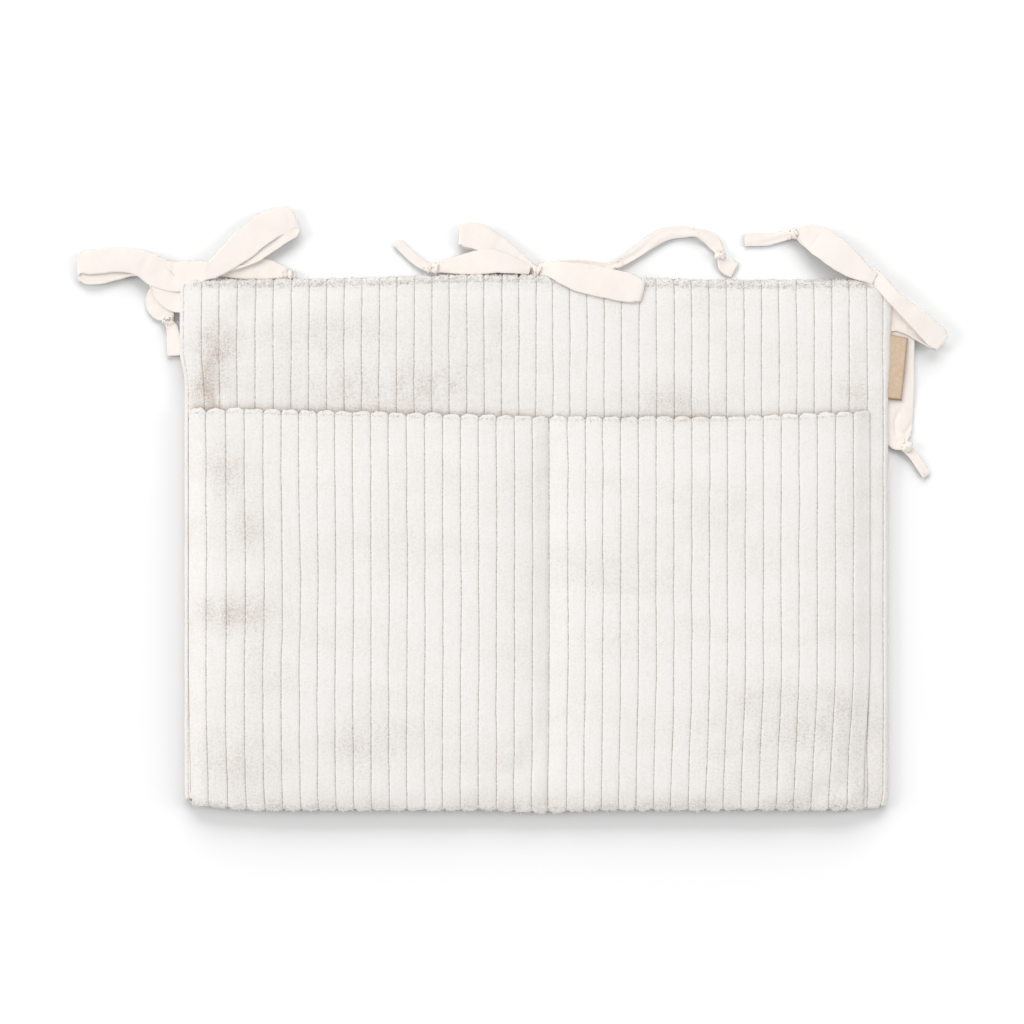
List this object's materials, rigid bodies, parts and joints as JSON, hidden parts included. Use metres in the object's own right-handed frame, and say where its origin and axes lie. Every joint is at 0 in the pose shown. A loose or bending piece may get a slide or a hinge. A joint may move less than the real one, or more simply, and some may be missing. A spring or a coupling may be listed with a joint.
{
  "type": "crib organizer",
  "caption": "Padded corduroy organizer with wide open pockets side by side and fabric ties along its top edge, for hanging on a crib rail.",
  "frame": {"origin": "middle of the flat back face, which lies on z = 0", "axes": "+X along the pocket mouth, +Y up the panel towards the ties, +Z out of the front"},
  "size_m": [0.7452, 0.5117, 0.0239],
  "materials": {
    "corduroy": "ribbed velvety pile",
    "lining": "plain cotton weave",
    "wadding": "soft fibre",
    "cotton_ribbon": "matt woven",
    "label_tape": "smooth woven"
  },
  "bodies": {
    "panel": {"back_panel": "lining", "padding": "wadding", "front_panel": "corduroy", "pocket_panel": "corduroy", "left_knot": "cotton_ribbon", "centre_knot": "cotton_ribbon", "right_knot": "cotton_ribbon"},
    "label": {"side_label": "label_tape"},
    "left_outer": {"left_outer_tie": "cotton_ribbon"},
    "left_inner": {"left_inner_tie": "cotton_ribbon"},
    "centre_left": {"centre_left_tie": "cotton_ribbon"},
    "centre_right": {"centre_right_tie": "cotton_ribbon"},
    "right_inner": {"right_inner_tie": "cotton_ribbon"},
    "right_outer": {"right_outer_tie": "cotton_ribbon"},
    "right_tail": {"right_outer_tail": "cotton_ribbon"}
  },
  "joints": [
    {"name": "label_flap", "type": "hinge", "parent": "panel", "child": "label", "pos_m": [0.3009, 0.1535, 0.0058], "axis": [0, -1, 0], "range_deg": [0, 90]},
    {"name": "left_outer_lift", "type": "hinge", "parent": "panel", "child": "left_outer", "pos_m": [-0.28515, 0.2335, 0.013], "axis": [0, 1, 0], "range_deg": [0, 70]},
    {"name": "left_inner_lift", "type": "hinge", "parent": "panel", "child": "left_inner", "pos_m": [-0.26885, 0.2335, 0.013], "axis": [0, -1, 0], "range_deg": [0, 70]},
    {"name": "centre_left_lift", "type": "hinge", "parent": "panel", "child": "centre_left", "pos_m": [-0.00815, 0.2335, 0.013], "axis": [0, 1, 0], "range_deg": [0, 70]},
    {"name": "centre_right_lift", "type": "hinge", "parent": "panel", "child": "centre_right", "pos_m": [0.00815, 0.2335, 0.013], "axis": [0, -1, 0], "range_deg": [0, 70]},
    {"name": "right_inner_lift", "type": "hinge", "parent": "panel", "child": "right_inner", "pos_m": [0.26885, 0.2335, 0.013], "axis": [0, 1, 0], "range_deg": [0, 70]},
    {"name": "right_outer_lift", "type": "hinge", "parent": "panel", "child": "right_outer", "pos_m": [0.28515, 0.2335, 0.013], "axis": [0, -1, 0], "range_deg": [0, 70]},
    {"name": "right_tail_swing", "type": "hinge", "parent": "panel", "child": "right_tail", "pos_m": [0.313, 0.1955, 0.001], "axis": [0, 0, 1], "range_deg": [0, 60]}
  ]
}
